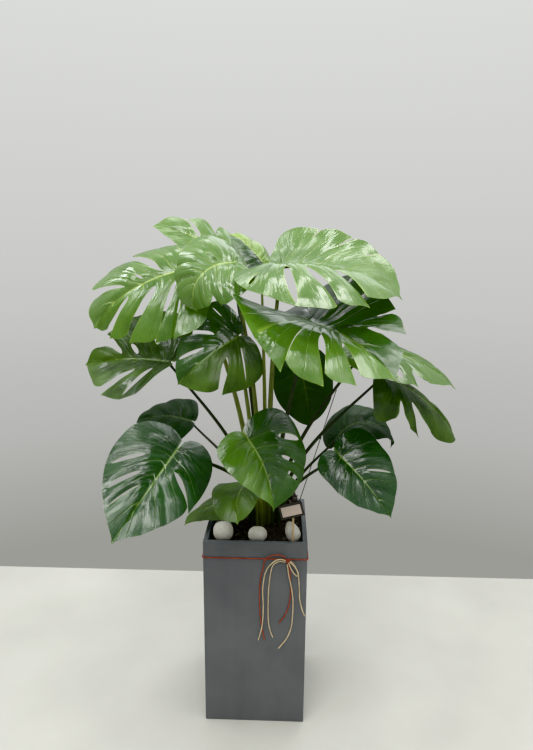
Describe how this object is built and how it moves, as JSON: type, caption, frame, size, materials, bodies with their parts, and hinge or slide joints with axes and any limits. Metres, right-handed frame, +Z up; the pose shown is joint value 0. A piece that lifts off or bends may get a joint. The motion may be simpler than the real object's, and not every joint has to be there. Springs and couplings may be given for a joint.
{
  "type": "potted monstera",
  "caption": "Split-leaf philodendron in a tall square planter, with soil, white pebbles, a small bare sign on a stick and a cord tied in a bow.",
  "frame": {"origin": "middle of the planter's flat underside", "axes": "+Z up along the planter; the planter's front, with the bow, faces -Y; +X is to the right seen from the front"},
  "size_m": [1.1592, 0.8599, 1.5171],
  "materials": {
    "planter_paint": "matt slate grey, fine speckle",
    "potting_soil": "rough, dark and crumbly",
    "leaf": "glossy leaf with pale veins",
    "stem": "satin, brown green",
    "pebble": "smooth matt white pebble",
    "dark_wood": "dark stained",
    "card": "matt, bare",
    "pale_wood": "raw pale wood",
    "rod_paint": "dark satin coat",
    "red_cord": "twisted cord",
    "pale_cord": "twisted cord"
  },
  "bodies": {
    "root": {"planter": "planter_paint", "soil": "potting_soil", "pebble_left": "pebble", "pebble_middle": "pebble", "pebble_right": "pebble", "sign_frame": "dark_wood", "sign_card": "card", "sign_stick": "pale_wood", "support_rod": "rod_paint", "tie_cord": "red_cord", "stem_front": "stem", "stem_back": "stem", "stem_small": "stem", "leaf_top_right": "leaf", "leaf_right_large": "leaf", "leaf_top_left": "leaf", "leaf_top_middle": "leaf", "leaf_top_back": "leaf", "leaf_young": "leaf", "leaf_left": "leaf", "leaf_centre_left": "leaf", "leaf_low_left_large": "leaf", "leaf_low_left_back": "leaf", "leaf_low_centre": "leaf", "leaf_over_rim": "leaf", "leaf_low_right": "leaf", "leaf_low_right_back": "leaf", "leaf_right_hanging": "leaf", "leaf_far_right": "leaf", "leaf_centre_back": "leaf", "leaf_small_left": "leaf", "tail_left_pale": "pale_cord", "tail_left_red": "red_cord", "tail_inner_pale": "pale_cord", "tail_long_pale": "pale_cord", "tail_short_red": "red_cord", "tail_right_pale": "pale_cord"}
  },
  "joints": []
}
